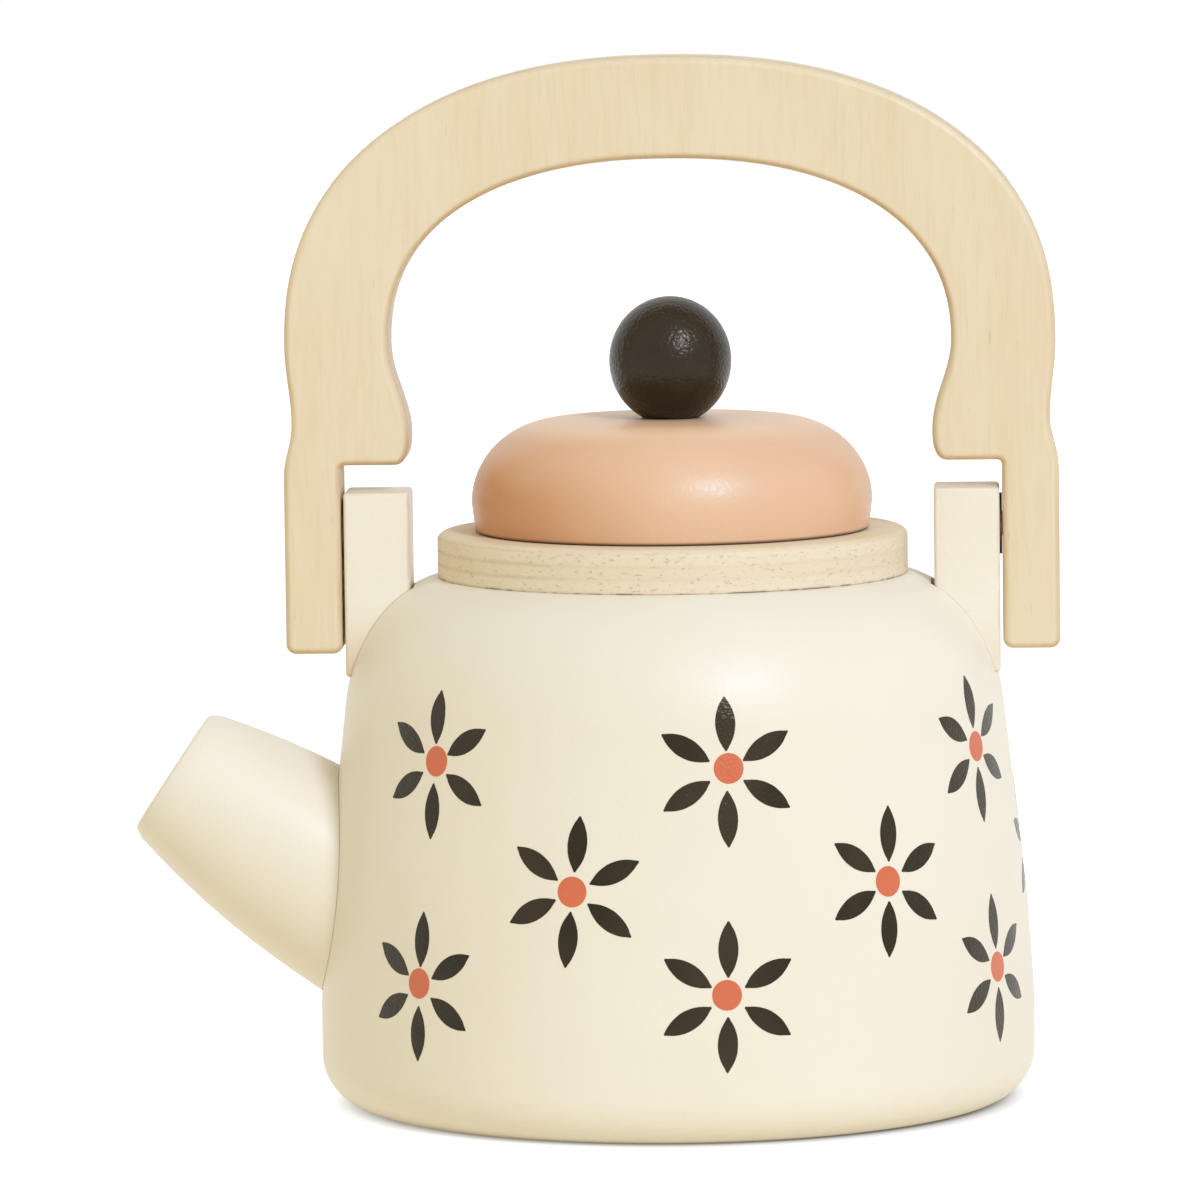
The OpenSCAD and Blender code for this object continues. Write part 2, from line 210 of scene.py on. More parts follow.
def turn_on_lathe(name, outline, sides=WIDE_SIDES):
    """Spins an outline of radii and heights about the Z axis; the piece stays open for edit."""
    piece = draw_line(name, [(r, 0, z) for r, z in outline])
    bpy.ops.mesh.select_all(action="SELECT")
    bpy.ops.mesh.spin(steps=sides, angle=FULL_TURN, center=(0, 0, 0), axis=(0, 0, 1))
    bpy.ops.mesh.select_all(action="SELECT")
    bpy.ops.mesh.remove_doubles(threshold=MERGE)
    bpy.ops.mesh.normals_make_consistent(inside=False)
    return piece


def add_block(name, low, high):
    """A block between two corners, open for edit with everything selected."""
    deselect()
    low, high = Vector(low), Vector(high)
    bpy.ops.mesh.primitive_cube_add(size=1, location=(low + high) / 2)
    piece = bpy.context.object
    piece.name = name
    piece.data.name = name
    piece.scale = high - low
    settle(piece)
    bpy.ops.object.mode_set(mode="EDIT")
    bpy.ops.mesh.select_all(action="SELECT")
    return piece


def add_pin(name, centre, radius, length):
    """A round pin lying along X, for drilling."""
    deselect()
    turn = Vector((1, 0, 0)).to_track_quat("Z", "Y").to_euler()
    bpy.ops.mesh.primitive_cylinder_add(
        vertices=BORE_SIDES, radius=radius, depth=length, location=centre, rotation=turn)
    piece = bpy.context.object
    piece.name = name
    settle(piece)
    return piece


def cut_away(piece, tool):
    """Takes a tool's shape out of a piece and throws the tool away."""
    pick(piece)
    modifier = piece.modifiers.new("cut", "BOOLEAN")
    modifier.object = tool
    modifier.operation = "DIFFERENCE"
    modifier.solver = "EXACT"
    bpy.ops.object.modifier_apply(modifier="cut")
    bpy.data.objects.remove(tool)


# Pot

BELLY_Z = 14 * MM
BASE_ROUND = 8 * MM
SHOULDER_R = 53.9 * MM
SHOULDER_Z = 66 * MM
HOLLOW_R = 27.5 * MM
HOLLOW_FLOOR = 15 * MM
HOLLOW_ROUND = 4 * MM
NOTCH_SPARE = 0.6 * MM

notch_floor = bracket_low.z
notch_in = bracket_low.x - NOTCH_SPARE


def pot_outline(grow=0):
    """The pot's wall from the middle of its base up to the collar, let out by an amount."""
    base = arc((pot_r - BASE_ROUND, BASE_ROUND), BASE_ROUND, -90, 0, 12)
    side = curve(SIDE_SHARES, (pot_r, BELLY_Z), (SHOULDER_R, SHOULDER_Z), 20)
    shoulder = curve(SHOULDER_SHARES, (SHOULDER_R, SHOULDER_Z), (collar_r, pot_top), 20)
    wall = base + [(pot_r, BELLY_Z)] + side + shoulder
    return [(0, 0)] + [(r + grow, z) for r, z in wall]


def pot_radius(height):
    """Radius of the pot's side at a height."""
    wall = pot_outline()[1:]
    for (r0, z0), (r1, z1) in zip(wall, wall[1:]):
        if z0 <= height <= z1 and z1 > z0:
            return mix(r0, r1, (height - z0) / (z1 - z0))
    return pot_r


def hollow_outline():
    """The bored hollow from the pot's top down to the middle of its floor."""
    low = arc((HOLLOW_R - HOLLOW_ROUND, HOLLOW_FLOOR + HOLLOW_ROUND), HOLLOW_ROUND, 0, -90, 8)
    return [(HOLLOW_R, pot_top)] + low + [(0, HOLLOW_FLOOR)]


def make_pot():
    """The turned pot, bored, with a notch on each side for the posts."""
    pot = turn_on_lathe("pot", pot_outline() + hollow_outline(), POT_SIDES)
    for side in (-1, 1):
        ends = sorted((side * notch_in, side * (pot_r + OVERRUN)))
        low = (ends[0], bracket_low.y - GLUE_GAP, notch_floor)
        high = (ends[1], bracket_high.y + GLUE_GAP, pot_top + OVERRUN)
        cut_away(pot, add_block("notch", low, high))
    return finish_mesh(pot, smooth_below=30)


# Plywood collar

COLLAR_BORE_R = 28.5 * MM
COLLAR_ROUND = 1.3 * MM
COLLAR_FOOT = 0.15 * MM


def make_collar():
    """The plywood ring, with its upper edges rounded."""
    edge_z = collar_top - COLLAR_ROUND
    inner = COLLAR_ROUND / 2
    bore_foot = (COLLAR_BORE_R, pot_top)
    outer_foot = [(collar_r - COLLAR_FOOT, pot_top), (collar_r, pot_top + COLLAR_FOOT)]
    outer_edge = arc((collar_r - COLLAR_ROUND, edge_z), COLLAR_ROUND, 0, 90, 8)
    inner_edge = arc((COLLAR_BORE_R + inner, collar_top - inner), inner, 90, 180, 6)
    collar = turn_on_lathe("collar", [bore_foot] + outer_foot + outer_edge + inner_edge + [bore_foot])
    return finish_mesh(collar, smooth_below=30)


# Spout

SPOUT_TIP = Vector((-82.8 * MM, 0, 54.5 * MM))
SPOUT_TILT = radians(33.8)
SPOUT_TIP_R = 11.55 * MM
SPOUT_ROOT_R = 16.8 * MM
SPOUT_EDGE_R = 1.3 * MM
POUR_R = 5.5 * MM
POUR_DEPTH = 12 * MM
POUR_EDGE = 0.5 * MM

spout_into_pot = SPOUT_ROOT_R / 4
spout_l = (-SPOUT_TIP.x - pot_r + spout_into_pot) / cos(SPOUT_TILT) + SPOUT_ROOT_R * tan(SPOUT_TILT)


def make_spout():
    """The turned spout with its blind pouring hole, saddled onto the pot's side."""
    hole = [(0, POUR_DEPTH), (POUR_R, POUR_DEPTH), (POUR_R, POUR_EDGE), (POUR_R + POUR_EDGE, 0)]
    edge = arc((SPOUT_TIP_R - SPOUT_EDGE_R, SPOUT_EDGE_R), SPOUT_EDGE_R, -90, -15, 8)
    wall = [(r, z) for z, r in curve(SPOUT_SHARES, (0, SPOUT_TIP_R), (spout_l, SPOUT_ROOT_R), 24)]
    wall = [point for point in wall if point[1] > edge[-1][1]]
    spout = turn_on_lathe("spout_wall", hole + edge + wall + [(0, spout_l)], SMALL_SIDES)
    set_down(spout, SPOUT_TIP, (0, pi / 2 + SPOUT_TILT, 0))
    cut_away(spout, turn_on_lathe("saddle", pot_outline(GLUE_GAP) + [(0, pot_top)], POT_SIDES))
    return finish_mesh(spout, smooth_below=40)


# Brackets

BRACKET_ROUND = 0.6 * MM
SCREW_R = 2 * MM


def make_bracket(name, side):
    """A post with soft edges, bored for its pivot screw."""
    ends = sorted((side * bracket_low.x, side * bracket_high.x))
    low = (ends[0], bracket_low.y, bracket_low.z)
    high = (ends[1], bracket_high.y, bracket_high.z)
    bracket = add_block(name, low, high)
    bpy.ops.mesh.bevel(offset=BRACKET_ROUND, segments=4, affect="EDGES")
    screw_l = screw_high.x - screw_low.x
    middle = (side * (leg_out - screw_l / 2), 0, pivot.z)
    cut_away(bracket, add_pin("bore", middle, SCREW_R + GLUE_GAP, screw_l))
    return finish_mesh(bracket, smooth_below=30)


# Handle

LEG_W = 9.3 * MM
LEG_STRAIGHT = 8.8 * MM
WAIST_RISE = 17.5 * MM
WAIST_INSET = 1.4 * MM
WAIST_W = 19.2 * MM
INNER_WAIST_RISE = 15.6 * MM
TAB_RISE = 10.8 * MM
TAB_ROUND_W = 2.4 * MM
ARCH_SPRING = 30.5 * MM
ARCH_INSET = 0.4 * MM
ARCH_SIDE_W = 17 * MM
ARCH_TOP_W = 16.6 * MM
ARCH_POWER = 2.29
ARCH_STEPS = 40
FOOT_CORNER_R = 1.6 * MM
TAB_CORNER_R = 0.8 * MM
HANDLE_EDGE_R = 1.3 * MM
HANDLE_EDGE_STEPS = 6
PIVOT_BORE_R = 2.06 * MM
SINK_R = 4.3 * MM


def squared(value):
    """A sine or cosine, changed so that its ellipse is nearer to a square."""
    return (abs(value) ** (2 / ARCH_POWER)) * (1 if value > 0 else -1)


def quarter_arch(half_w, rise, start, end):
    """Points along a quarter of a squared ellipse that stands on the arch's spring line."""
    angles = [radians(mix(start, end, step / ARCH_STEPS)) for step in range(ARCH_STEPS + 1)]
    height = rise - ARCH_SPRING
    return [(half_w * squared(cos(a)), ARCH_SPRING + height * squared(sin(a))) for a in angles]


def handle_half():
    """Right half of the handle's outline, from the arch's inner top round a leg to its outer top."""
    leg_in = leg_out - LEG_W
    leg_drop = pivot.z - handle_low.z
    rise = handle_high.z - pivot.z
    arch_out = leg_out - ARCH_INSET
    arch_in = arch_out - ARCH_SIDE_W
    waist_out = leg_out - WAIST_INSET
    waist_in = waist_out - WAIST_W
    foot_z = FOOT_CORNER_R - leg_drop
    return (
        quarter_arch(arch_in, rise - ARCH_TOP_W, 90, 0)
        + curve(WAIST_SHARES, (arch_in, ARCH_SPRING), (waist_in, INNER_WAIST_RISE), 12)
        + curve(TAB_SHARES, (waist_in, INNER_WAIST_RISE), (waist_in + TAB_ROUND_W, TAB_RISE), 10)
        + arc((leg_in - TAB_CORNER_R, TAB_RISE - TAB_CORNER_R), TAB_CORNER_R, 90, 0, 5)
        + arc((leg_in + FOOT_CORNER_R, foot_z), FOOT_CORNER_R, 180, 270, 8)
        + arc((leg_out - FOOT_CORNER_R, foot_z), FOOT_CORNER_R, 270, 360, 8)
        + [(leg_out, LEG_STRAIGHT)]
        + curve(WAIST_SHARES, (leg_out, LEG_STRAIGHT), (waist_out, WAIST_RISE), 10)
        + curve(WAIST_SHARES, (waist_out, WAIST_RISE), (arch_out, ARCH_SPRING), 12)[:-1]
        + quarter_arch(arch_out, rise, 0, 90)
    )


def round_over(radius, steps):
    """Rounds the edge round the selected flat face by insets that each rise a little."""
    for step in range(steps):
        a0, a1 = (pi / 2 * (step + i) / steps for i in (0, 1))
        bpy.ops.mesh.inset(thickness=radius * (cos(a0) - cos(a1)), depth=radius * (sin(a1) - sin(a0)))


def make_countersink(side):
    """The cutter for a leg's bore and for the cone that the pivot screw's head lies in."""
    depth = SINK_R - PIVOT_BORE_R
    bore = [(0, LEG_W + OVERRUN), (PIVOT_BORE_R, LEG_W + OVERRUN), (PIVOT_BORE_R, depth)]
    cone = [(SINK_R, 0), (SINK_R, -OVERRUN), (0, -OVERRUN)]
    sink = turn_on_lathe("countersink", bore + cone, BORE_SIDES)
    set_down(sink, (side * leg_out, 0, pivot.z), (0, -side * pi / 2, 0))
    return sink


def make_handle():
    """The handle's plate, its edges rounded in front and behind, with both pivot bores."""
    half = handle_half()
    loop = half + [(-x, z) for x, z in reversed(half[1:-1])]
    straight_t = plate_t - 2 * HANDLE_EDGE_R
    handle = draw_line("handle_plate", [(x, -straight_t / 2, pivot.z + z) for x, z in loop])
    bpy.ops.mesh.select_all(action="SELECT")
    bpy.ops.mesh.edge_face_add()
    bpy.ops.mesh.extrude_region_move(TRANSFORM_OT_translate={"value": (0, straight_t, 0)})
    bpy.ops.mesh.select_all(action="SELECT")
    bpy.ops.mesh.normals_make_consistent(inside=False)
    for side in (-1, 1):
        take_faces(handle, lambda face: side * face.normal.y > SQUARE_ON)
        round_over(HANDLE_EDGE_R, HANDLE_EDGE_STEPS)
    for side in (-1, 1):
        cut_away(handle, make_countersink(side))
    finish_mesh(handle, smooth_below=35)
    weighted = handle.modifiers.new("normals", "WEIGHTED_NORMAL")
    weighted.keep_sharp = True
    bpy.ops.object.modifier_apply(modifier="normals")
    return handle


# Lid and knob

LID_TUCK = 0.5 * MM
LID_SIDE_H = 4.8 * MM
LID_CROWN_W = 14.5 * MM
LID_EDGE_R = 0.8 * MM
KNOB_FLAT = 1.1 * MM

lid_h = lid_high.z - lid_low.z
knob_half_h = (knob_high.z - knob_low.z + KNOB_FLAT) / 2


def make_lid():
    """The turned lid, with a small round below and a wide one above."""
    edge = arc((lid_r - LID_TUCK - LID_EDGE_R, LID_EDGE_R), LID_EDGE_R, -90, 0, 6)
    crown = arc((lid_r - LID_CROWN_W, LID_SIDE_H), LID_CROWN_W, 0, 90, 28, rise=lid_h - LID_SIDE_H)
    outline = [(0, 0)] + edge + crown + [(0, lid_h)]
    lid = turn_on_lathe("lid_cap", [(r, lid_low.z + z) for r, z in outline])
    return finish_mesh(lid, smooth_below=40)


def make_knob():
    """The ball on the lid, flat where it stands."""
    centre_z = knob_high.z - knob_half_h
    foot = -degrees(asin(1 - KNOB_FLAT / knob_half_h))
    ball = arc((0, centre_z), knob_r, foot, 90, 48, rise=knob_half_h)
    outline = [(0, knob_low.z)] + ball[:-1] + [(0, knob_high.z)]
    return finish_mesh(turn_on_lathe("ball_knob", outline, SMALL_SIDES), smooth_below=40)


# Printed flowers

PETAL_IN = 3.15 * MM
PETAL_OUT = 12.1 * MM
PETAL_HALF_W = 1.65 * MM
PETAL_TIP_HALF_W = 0.12 * MM
PETAL_ROWS = 16
PETALS = 6
DISC_R = 2.45 * MM
DISC_SIDES = 32
FLOWER_OFF = 1 * MM
PRINT_PROUD = 0.04 * MM
PRINT_T = 0.12 * MM

# For each row its height, then for each flower its angle from the front, its own turn,
# and how far its disc lies to the right of its centre and above it, in millimetres
FLOWER_ROWS = (
    (60 * MM, (
        (-42.7, 0.5, 0.3, 0.4),
        (10.6, 0, 0.35, 0.4),
        (64.7, 1, 0.3, 0.2),
        (118, -3, 0.15, 0.2),
        (171, 2, 0, 0.2),
        (224, -1.5, -0.1, 0),
    )),
    (41 * MM, (
        (-14.9, -5, -0.1, 0),
        (38.7, -4.5, -0.2, 0),
        (92, 3, 0.2, -0.1),
        (145.5, -2, 0, 0.2),
        (199, 1.5, -0.15, -0.1),
    )),
    (24.3 * MM, (
        (-43.3, -1, -0.15, 0.5),
        (9.9, -1.5, -0.2, 0.35),
        (64.6, 0, 0.2, 0.2),
        (118, 2, -0.2, 0),
        (171, -2.5, 0.1, -0.15),
        (224, 1, 0, 0.2),
    )),
)


def make_petal():
    """One petal lying flat, its tips on the Y axis, at the place of the first one."""
    length = PETAL_OUT - PETAL_IN
    deselect()
    bpy.ops.mesh.primitive_grid_add(x_subdivisions=2, y_subdivisions=PETAL_ROWS, size=1)
    petal = bpy.context.object
    petal.scale = (2 * PETAL_HALF_W, length, 1)
    settle(petal)
    arc_r = (length * length / 4 + PETAL_HALF_W ** 2) / (2 * PETAL_HALF_W)
    rows = sorted({round(v.co.y, 7) for v in petal.data.vertices})
    for row in rows:
        half_w = sqrt(arc_r ** 2 - row ** 2) - (arc_r - PETAL_HALF_W)
        width = max(half_w, PETAL_TIP_HALF_W) / PETAL_HALF_W
        bpy.ops.object.mode_set(mode="EDIT")
        bpy.ops.mesh.select_all(action="DESELECT")
        bpy.ops.mesh.select_mode(type="VERT")
        bpy.ops.object.mode_set(mode="OBJECT")
        for vertex in petal.data.vertices:
            vertex.select = abs(vertex.co.y - row) < MERGE
        bpy.ops.object.mode_set(mode="EDIT")
        bpy.ops.transform.resize(value=(width, 1, 1), center_override=(0, row, 0))
    bpy.ops.mesh.select_all(action="SELECT")
    bpy.ops.transform.translate(value=(0, PETAL_IN + length / 2, 0))
    bpy.ops.object.mode_set(mode="OBJECT")
    return petal


def make_disc():
    """One flower's disc lying flat."""
    deselect()
    bpy.ops.mesh.primitive_circle_add(vertices=DISC_SIDES, radius=DISC_R, fill_type="NGON")
    disc = bpy.context.object
    bpy.ops.object.mode_set(mode="EDIT")
    bpy.ops.mesh.select_all(action="SELECT")
    bpy.ops.mesh.inset(thickness=DISC_R / 3)
    bpy.ops.mesh.inset(thickness=DISC_R / 3)
    bpy.ops.mesh.poke()
    bpy.ops.object.mode_set(mode="OBJECT")
    return disc


def flower_places():
    """For each flower, the matrix that stands it on the pot's side and its disc's shift."""
    places = []
    for height, flowers in FLOWER_ROWS:
        lean = atan((pot_radius(height - MM) - pot_radius(height + MM)) / (2 * MM))
        out = pot_radius(height) + FLOWER_OFF
        stand = Matrix.Translation((0, -out, height)) @ Matrix.Rotation(pi / 2 - lean, 4, "X")
        for azimuth, turn, disc_right, disc_up in flowers:
            around = Matrix.Rotation(radians(azimuth), 4, "Z")
            place = around @ stand @ Matrix.Rotation(radians(turn), 4, "Z")
            places.append((place, Matrix.Translation((disc_right * MM, disc_up * MM, 0))))
    return places


def copy_to(piece, places, name):
    """Joins copies of a flat piece, each with its own mesh, at the given places."""
    deselect()
    copies = []
    for place in places:
        copy = piece.copy()
        copy.data = piece.data.copy()
        copy.data.transform(place)
        bpy.context.scene.collection.objects.link(copy)
        copies.append(copy)
    bpy.data.objects.remove(piece)
    pick(*copies)
    bpy.ops.object.join()
    copies[0].name = name
    copies[0].data.name = name
    return copies[0]


def print_on(piece, pot):
    """Lays a flat print on the pot's side and gives it the thickness of its ink."""
    pick(piece)
    wrap = piece.modifiers.new("wrap", "SHRINKWRAP")
    wrap.target = pot
    wrap.wrap_method = "NEAREST_SURFACEPOINT"
    wrap.wrap_mode = "ABOVE_SURFACE"
    wrap.offset = PRINT_PROUD
    bpy.ops.object.modifier_apply(modifier="wrap")
    ink = piece.modifiers.new("ink", "SOLIDIFY")
    ink.thickness = PRINT_T
    ink.offset = -1
    bpy.ops.object.modifier_apply(modifier="ink")
    return finish_mesh(piece, smooth_below=50)


def make_flowers(pot):
    """The printed petals and the printed discs of all the flowers, as two pieces."""
    places = flower_places()
    turns = [Matrix.Rotation(FULL_TURN * i / PETALS, 4, "Z") for i in range(PETALS)]
    petal_places = [place @ turn for place, shift in places for turn in turns]
    disc_places = [place @ shift for place, shift in places]
    petals = copy_to(make_petal(), petal_places, "flower_petals")
    discs = copy_to(make_disc(), disc_places, "flower_discs")
    return print_on(petals, pot), print_on(discs, pot)


pot = make_pot()
collar = make_collar()
spout = make_spout()
left_bracket = make_bracket("left_post", -1)
right_bracket = make_bracket("right_post", 1)
handle = make_handle()
lid = make_lid()
knob = make_knob()
petals, discs = make_flowers(pot)


# Materials

def colour(red, green, blue):
    """A written colour, 0 to 255, as the light it stands for."""
    linear = []
    for value in (red, green, blue):
        share = value / 255
        linear.append(share / 12.92 if share <= 0.04045 else ((share + 0.055) / 1.055) ** 2.4)
    return (*linear, 1)


CREAM = colour(244, 239, 225)
CREAM_WARM = colour(236, 227, 203)
PEACH = colour(237, 196, 163)
# The deeper peach is painted shade on the lid's left side.
PEACH_PAINTED_SHADE = colour(212, 148, 100)
# The paler peach is a painted sheen on the lid's top.
PEACH_PAINTED_SHEEN = colour(247, 211, 176)
CHARCOAL = colour(29, 21, 11)
CHARCOAL_PALE = colour(41, 32, 21)
SHINE_WARM = colour(252, 238, 212)
SHINE_CREAM = colour(205, 225, 255)
SHINE_PEACH = colour(170, 245, 255)
INK = colour(30, 24, 14)
INK_PALE = colour(62, 53, 40)
SEAM = colour(74, 42, 25)
BIRCH = colour(236, 223, 196)
BIRCH_FIBRE = colour(229, 211, 177)
BIRCH_FLECK = colour(206, 180, 142)
# A brown for worn and burnished wood, also used as painted shade on the posts and on the handle's lower
# edges.
BURNISH = colour(206, 172, 126)
BIRCH_PALE = colour(237, 224, 200)
PLY_GLUE = colour(166, 142, 100)
PLY_DARK = colour(224, 209, 174)
PLY_PALE = colour(231, 216, 183)
BEECH = colour(217, 185, 140)
BEECH_FLECK = colour(176, 132, 88)
ORANGE = colour(217, 110, 75)
ORANGE_RIM = colour(206, 101, 69)
FIBRE = colour(74, 58, 44)
FIBRE_PALE = colour(104, 84, 64)
ZINC = colour(205, 205, 202)
BLACK = (0, 0, 0, 1)
WHITE = (1, 1, 1, 1)

BIRCH_TONES = {"Wood": BIRCH, "Fibre": BIRCH_FIBRE, "Fleck": BIRCH_FLECK}
BEECH_TONES = {"Wood": BEECH, "Fibre": BURNISH, "Fleck": BEECH_FLECK}


def feed(tree, value, socket):
    """Gives a socket another socket's value, or a plain one."""
    if isinstance(value, bpy.types.NodeSocket):
        tree.links.new(value, socket)
    else:
        socket.default_value = value


def calculate(tree, operation, *values, clamp=False):
    """A step of arithmetic with numbers."""
    node = tree.nodes.new("ShaderNodeMath")
    node.operation = operation
    node.use_clamp = clamp
    for value, socket in zip(values, node.inputs):
        feed(tree, value, socket)
    return node.outputs[0]


def reckon(tree, operation, *vectors):
    """A step of arithmetic with vectors; gives both its results, Vector and Value."""
    node = tree.nodes.new("ShaderNodeVectorMath")
    node.operation = operation
    for vector, socket in zip(vectors, node.inputs):
        feed(tree, vector, socket)
    return node.outputs


def scaled(tree, vector, scale=(1, 1, 1), rotation=(0, 0, 0)):
    """Coordinates stretched or turned for a pattern."""
    node = tree.nodes.new("ShaderNodeMapping")
    feed(tree, vector, node.inputs["Vector"])
    node.inputs["Scale"].default_value = scale
    node.inputs["Rotation"].default_value = rotation
    return node.outputs["Vector"]


def noise(tree, vector, scale, detail=3, roughness=0.5):
    """Soft noise from 0 to 1, its scale in blots to the metre."""
    node = tree.nodes.new("ShaderNodeTexNoise")
    feed(tree, vector, node.inputs["Vector"])
    node.inputs["Scale"].default_value = scale
    node.inputs["Detail"].default_value = detail
    node.inputs["Roughness"].default_value = roughness
    return node.outputs["Fac"]


def stretch(tree, value, low, high, to_low=0, to_high=1, smooth=True):
    """Spreads a range of values over another one, and stops at its ends."""
    node = tree.nodes.new("ShaderNodeMapRange")
    node.interpolation_type = "SMOOTHSTEP" if smooth else "LINEAR"
    for name, end in (("From Min", low), ("From Max", high), ("To Min", to_low), ("To Max", to_high)):
        feed(tree, end, node.inputs[name])
    feed(tree, value, node.inputs["Value"])
    return node.outputs["Result"]


def blend_colours(tree, share, first, second):
    """The first colour, with a share of the second one in it."""
    node = tree.nodes.new("ShaderNodeMix")
    node.data_type = "RGBA"
    feed(tree, share, node.inputs["Factor"])
    colour_a, colour_b = [socket for socket in node.inputs if socket.type == "RGBA"]
    feed(tree, first, colour_a)
    feed(tree, second, colour_b)
    return next(socket for socket in node.outputs if socket.type == "RGBA")


def raise_surface(tree, height, distance):
    """The normal of a surface that stands up by a distance where its height is 1."""
    node = tree.nodes.new("ShaderNodeBump")
    node.inputs["Distance"].default_value = distance
    feed(tree, height, node.inputs["Height"])
    return node.outputs["Normal"]


def split(tree, vector):
    """A vector's X, Y and Z."""
    node = tree.nodes.new("ShaderNodeSeparateXYZ")
    feed(tree, vector, node.inputs[0])
    return node.outputs


def new_group(name, inputs, outputs):
    """A node group with named sockets; gives its tree and its input and output nodes."""
    tree = bpy.data.node_groups.new(name, "ShaderNodeTree")
    for socket, kind in inputs:
        tree.interface.new_socket(socket, in_out="INPUT", socket_type="NodeSocket" + kind)
    for socket, kind in outputs:
        tree.interface.new_socket(socket, in_out="OUTPUT", socket_type="NodeSocket" + kind)
    return tree, tree.nodes.new("NodeGroupInput").outputs, tree.nodes.new("NodeGroupOutput").inputs


def use_group(tree, group, **inputs):
    """Places a shared effect in a material with the material's own values."""
    node = tree.nodes.new("ShaderNodeGroup")
    node.node_tree = group
    for name, value in inputs.items():
        feed(tree, value, node.inputs[name])
    return node.outputs


def build_paint_skin():
    """Sprayed paint over sanded wood: slow changes of tone, and an orange peel of fine droplets."""
    tree, given, out = new_group(
        "paint_skin",
        [("Vector", "Vector")],
        [("Tone", "Float"), ("Droplets", "Float"), ("Height", "Float")])
    tone = stretch(tree, noise(tree, given["Vector"], 26), 0.3, 0.7)
    droplets = noise(tree, given["Vector"], 1700, detail=1)
    grain = noise(tree, scaled(tree, given["Vector"], (1, 1, 0.16)), 520, detail=2, roughness=0.55)
    swells = noise(tree, given["Vector"], 160, detail=2)
    fine = calculate(tree, "MULTIPLY_ADD", grain, 0.2, droplets)
    feed(tree, tone, out["Tone"])
    feed(tree, droplets, out["Droplets"])
    feed(tree, calculate(tree, "MULTIPLY_ADD", swells, 0.5, fine), out["Height"])
    return tree


def build_birch_grain():
    """Rotary-cut birch face with its fibres along Z: soft clouds, fine short fibres and a few flecks."""
    tree, given, out = new_group(
        "birch_grain",
        [("Vector", "Vector"), ("Wood", "Color"), ("Fibre", "Color"), ("Fleck", "Color")],
        [("Color", "Color"), ("Height", "Float")])
    sway = noise(tree, scaled(tree, given["Vector"], (1, 1, 0.5)), 35, detail=1)
    sideways = tree.nodes.new("ShaderNodeCombineXYZ")
    feed(tree, calculate(tree, "MULTIPLY", sway, 3 * MM), sideways.inputs["X"])
    vector = reckon(tree, "ADD", given["Vector"], sideways.outputs["Vector"])["Vector"]
    bands = noise(tree, scaled(tree, vector, (1, 1, 0.12)), 150, detail=2)
    fibres = noise(tree, scaled(tree, vector, (1, 1, 0.09)), 1250, roughness=0.6)
    flecks = noise(tree, scaled(tree, vector, (1, 1, 0.12)), 1500, detail=1, roughness=0.4)
    clouds = noise(tree, scaled(tree, vector, (1, 1, 0.45)), 60)
    bands = stretch(tree, bands, 0.35, 0.7)
    fibres = stretch(tree, fibres, 0.4, 0.75)
    flecks = stretch(tree, flecks, 0.7, 0.8)
    clouds = stretch(tree, clouds, 0.3, 0.7)
    shade = calculate(tree, "MULTIPLY_ADD", bands, 0.3, calculate(tree, "MULTIPLY", fibres, 0.45))
    shade = calculate(tree, "MULTIPLY_ADD", clouds, 0.35, shade, clamp=True)
    face = blend_colours(tree, shade, given["Wood"], given["Fibre"])
    face = blend_colours(tree, calculate(tree, "MULTIPLY", flecks, 0.4), face, given["Fleck"])
    feed(tree, face, out["Color"])
    feed(tree, calculate(tree, "ADD", fibres, flecks), out["Height"])
    return tree


def build_ply_layers():
    """Plywood seen from its edge: soft glue lines, every other layer in end grain, and open pores."""
    tree, given, out = new_group(
        "ply_layers",
        [("Depth", "Float"), ("Vector", "Vector"), ("Clear", "Float"),
         ("Face", "Color"), ("Dark", "Color"), ("Glue", "Color")],
        [("Color", "Color"), ("Height", "Float")])
    waver = noise(tree, given["Vector"], 60, detail=2)
    ragged = noise(tree, given["Vector"], 800, detail=2)
    depth = calculate(tree, "MULTIPLY_ADD", waver, 0.1, given["Depth"])
    depth = calculate(tree, "MULTIPLY_ADD", ragged, 0.08, depth)
    place = calculate(tree, "FRACT", depth)
    to_line = calculate(tree, "MINIMUM", place, calculate(tree, "SUBTRACT", 1.0, place))
    faded = stretch(tree, noise(tree, given["Vector"], 120, roughness=0.6), 0.3, 0.6, 0.35, 1)
    line = calculate(tree, "MULTIPLY", stretch(tree, to_line, 0.26, 0), faded)
    line = calculate(tree, "MULTIPLY", line, given["Clear"])
    odd = calculate(tree, "PINGPONG", calculate(tree, "FLOOR", depth), 1.0)
    lying = scaled(tree, given["Vector"], (1, 1, 2.5))
    pits = stretch(tree, noise(tree, lying, 900, roughness=0.7), 0.57, 0.7)
    specks = stretch(tree, noise(tree, given["Vector"], 1500, detail=2, roughness=0.7), 0.5, 0.72)
    fuzz = calculate(tree, "MULTIPLY", specks, 0.3)
    dark = calculate(tree, "MULTIPLY_ADD", odd, 0.35, fuzz, clamp=True)
    layers = blend_colours(tree, dark, given["Face"], given["Dark"])
    pores = calculate(tree, "MULTIPLY", pits, 0.4)
    marks = calculate(tree, "MAXIMUM", calculate(tree, "MULTIPLY", line, 0.75), pores)
    feed(tree, blend_colours(tree, marks, layers, given["Glue"]), out["Color"])
    feed(tree, calculate(tree, "MULTIPLY_ADD", pits, -1.0, fuzz), out["Height"])
    return tree


